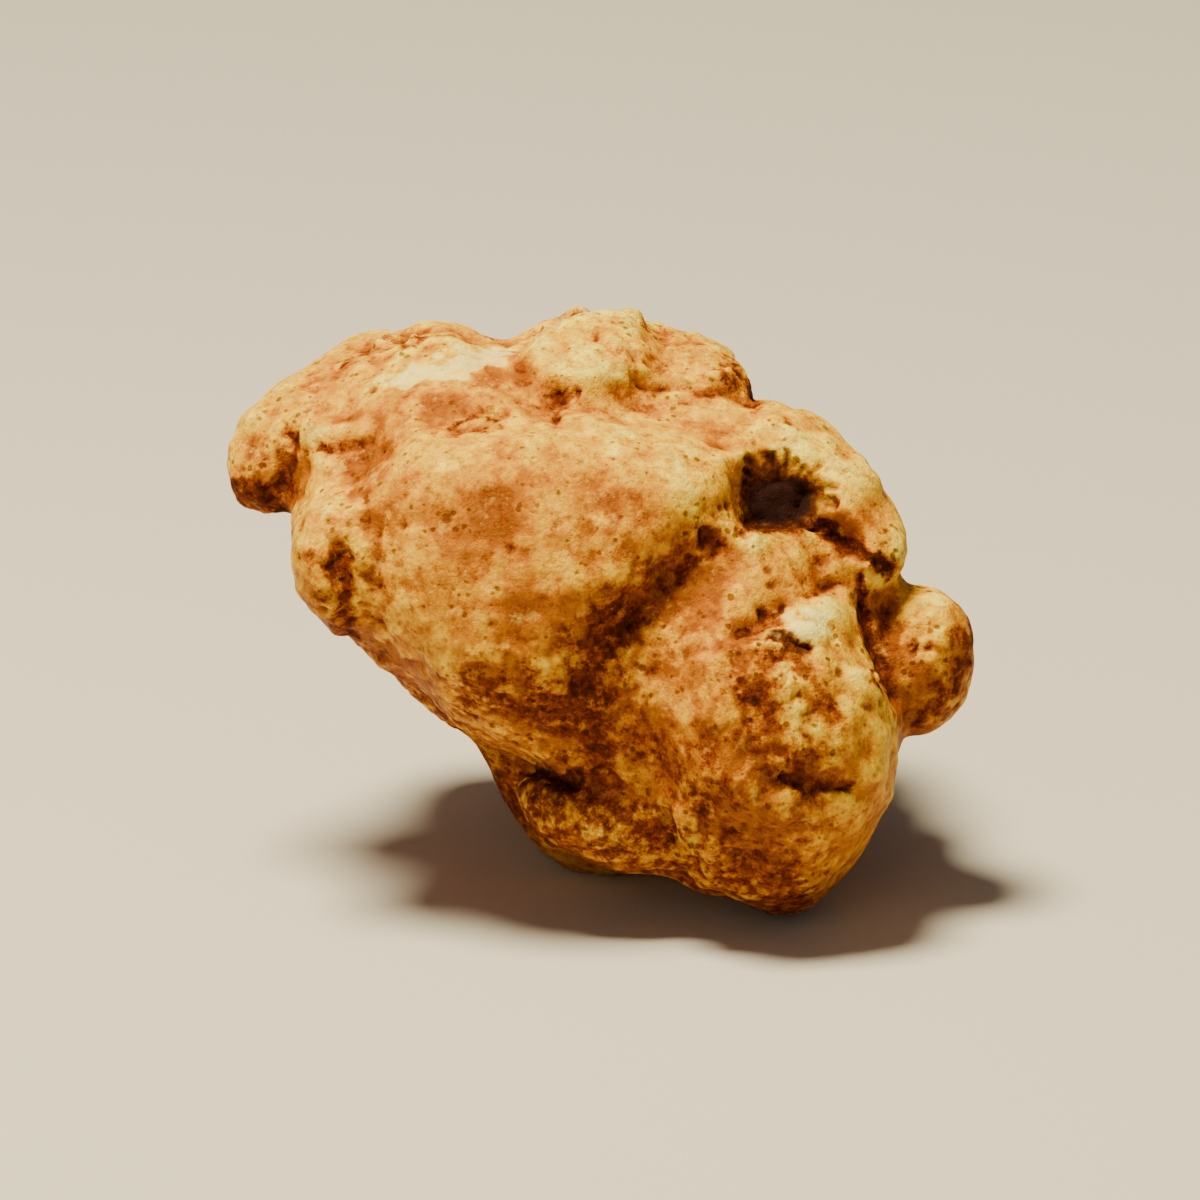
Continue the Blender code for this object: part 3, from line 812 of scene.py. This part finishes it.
# %% [markdown]
# ### Pores, the deep pit's painted shade, and scuffs with painted highlights
# A pore is painted darker the deeper it is. The deep pit and the wrinkles round it get painted shade, near
# black, darker than their carved depth shades them. The strongest pale marks are partly scuffs, where the
# rind is rubbed off to the cream flesh, and partly painted highlights, so they lie over everything else.

# %% Pores, the deep pit's painted shade, and scuffs with painted highlights
pore_share = add_node(rind, RANGE, {0: kept["pore"], 1: 0.25, 2: 1.0, 3: 0.0, 4: 0.6})
pored = add_node(
    rind, MIX, {0: pore_share.outputs[0], 6: soiled_and_shaded.outputs[2], 7: colour("#4a210c")}, data_type="RGBA",
)
# painted shade: the deep pit and its wrinkles are mixed towards near black
pit_shade_share = add_node(rind, RANGE, {0: kept["pit_painted_shade"], 1: 0.05, 2: 0.70, 3: 0.0, 4: 0.97})
pit_shaded = add_node(
    rind, MIX, {0: pit_shade_share.outputs[0], 6: pored.outputs[2], 7: colour("#1e0803")}, data_type="RGBA",
)
# the strongest pale marks go towards near white: partly scuffs, partly painted highlights
scuff_and_highlight_share = add_node(rind, RANGE, {0: kept["pale"], 1: 0.78, 2: 1.0, 3: 0.0, 4: 0.5})
scuffs_and_highlights = add_node(
    rind, MIX, {0: scuff_and_highlight_share.outputs[0], 6: pit_shaded.outputs[2], 7: colour("#ffef9c")}, data_type="RGBA",
)
rind.links.new(scuffs_and_highlights.outputs[2], shader.inputs["Base Color"])


# %% [markdown]
# ### Sheen and grain
# Clean skin has a faint sheen and soil is dull, so the roughness follows the soil. The IOR is that of most
# dry living matter, but threads trap what a smooth face would throw back, so the specular level is low.
# The threads are hundredths of a millimetre wide and wouldn't show, so the bump draws the suede-like grain
# at 0.4 mm. Light enters the thin rind a little and comes out warm.

# %% Roughness, grain and scattering
dullness = add_node(rind, RANGE, {0: dirt_and_shade.outputs[0], 1: 0.1, 2: 0.9, 3: 0.50, 4: 0.85})
fine = add_node(rind, NOISE, {"Vector": place, "Scale": 1 / (0.40 * MM), "Detail": 4.0, "Roughness": 0.7})
coarse = add_node(
    rind, MATH, {0: cloud.outputs["Fac"], 1: 1.2, 2: fine.outputs["Fac"]}, operation="MULTIPLY_ADD",
)
grain = add_node(rind, MATH, {0: specks.outputs[0], 1: -0.5, 2: coarse.outputs[0]}, operation="MULTIPLY_ADD")
bump = add_node(rind, "ShaderNodeBump", {"Height": grain.outputs[0], "Strength": 0.8, "Distance": 0.3 * MM})
rind.links.new(dullness.outputs[0], shader.inputs["Roughness"])
rind.links.new(bump.outputs["Normal"], shader.inputs["Normal"])
shader.inputs["Metallic"].default_value = 0.0
shader.inputs["IOR"].default_value = 1.45
shader.inputs["Specular IOR Level"].default_value = 0.10
shader.inputs["Subsurface Weight"].default_value = 0.05
shader.inputs["Subsurface Radius"].default_value = (1.0, 0.6, 0.2)  # red goes furthest into the rind
shader.inputs["Subsurface Scale"].default_value = 1.0 * MM


# %% [markdown]
# ## Handing the piece over
# The skin is one with the lump, so it rides on the part's only body and is shown in place of the solid.

# %% Finish the piece
skin.data.materials.clear()
skin.data.materials.append(truffle_skin)
select_only(skin)
bpy.ops.object.shade_smooth()
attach(skin, "root")
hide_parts("truffle")
print("truffle_skin:", count_triangles(skin), "triangles")


# %% [markdown]
# ## Floor, light and camera
# The photograph has soft light from above and a long lens that looks down at 17.5 degrees. A large lamp
# overhead and a weaker one by the eye give the same bright crowns and dark clefts on a plain pale floor.

# %% Pale floor
FLOOR_WIDTH = 8.0  # in metres, so that no edge of it shows
bpy.ops.object.select_all(action="DESELECT")
bpy.ops.mesh.primitive_plane_add(size=FLOOR_WIDTH)
floor = bpy.context.object
floor.name = "floor"
paper = bpy.data.materials.new("pale_floor")
paper.use_nodes = True
paper.node_tree.nodes["Principled BSDF"].inputs["Base Color"].default_value = colour("#cdc7bc")
paper.node_tree.nodes["Principled BSDF"].inputs["Roughness"].default_value = 0.8
floor.data.materials.append(paper)


# %% Lamps and sky
LAMP_AIM = Vector((0, 0, 0.02))  # in metres


def add_lamp(name, spot, size, watts, tint):
    data = bpy.data.lights.new(name, "AREA")
    data.shape = "DISK"
    data.size = size
    data.energy = watts
    data.color = colour(tint)[:3]
    lamp = bpy.data.objects.new(name, data)
    bpy.context.scene.collection.objects.link(lamp)
    lamp.location = spot
    lamp.rotation_euler = (Vector(spot) - LAMP_AIM).to_track_quat("Z", "Y").to_euler()


add_lamp("overhead", (-0.16, -0.10, 0.75), size=0.26, watts=16.4, tint="#fff2cc")
add_lamp("by the eye", (-0.30, -0.80, 0.35), size=0.6, watts=1.1, tint="#fff0d0")
sky = bpy.data.worlds.new("soft sky")
sky.use_nodes = True
sky.node_tree.nodes["Background"].inputs["Color"].default_value = colour("#f2efe9")
sky.node_tree.nodes["Background"].inputs["Strength"].default_value = 0.12
bpy.context.scene.world = sky


# %% Camera
CAMERA_DISTANCE = 1.2
FIELD = 0.108  # width of the picture at the truffle, in metres like the distance
AIM_HEIGHT = 0.0255
SENSOR_WIDTH = 36.0  # mm
lens_data = bpy.data.cameras.new("long lens")
eye = bpy.data.objects.new("long lens", lens_data)
bpy.context.scene.collection.objects.link(eye)
towards = Vector(side_axes(FRONT)[2])
eye.location = Vector((0.0, 0.0, AIM_HEIGHT)) + towards * CAMERA_DISTANCE
eye.rotation_euler = towards.to_track_quat("Z", "Y").to_euler()
lens_data.sensor_width = SENSOR_WIDTH
lens_data.lens = SENSOR_WIDTH * CAMERA_DISTANCE / FIELD
bpy.context.scene.camera = eye
print("long lens of", round(lens_data.lens), "mm")
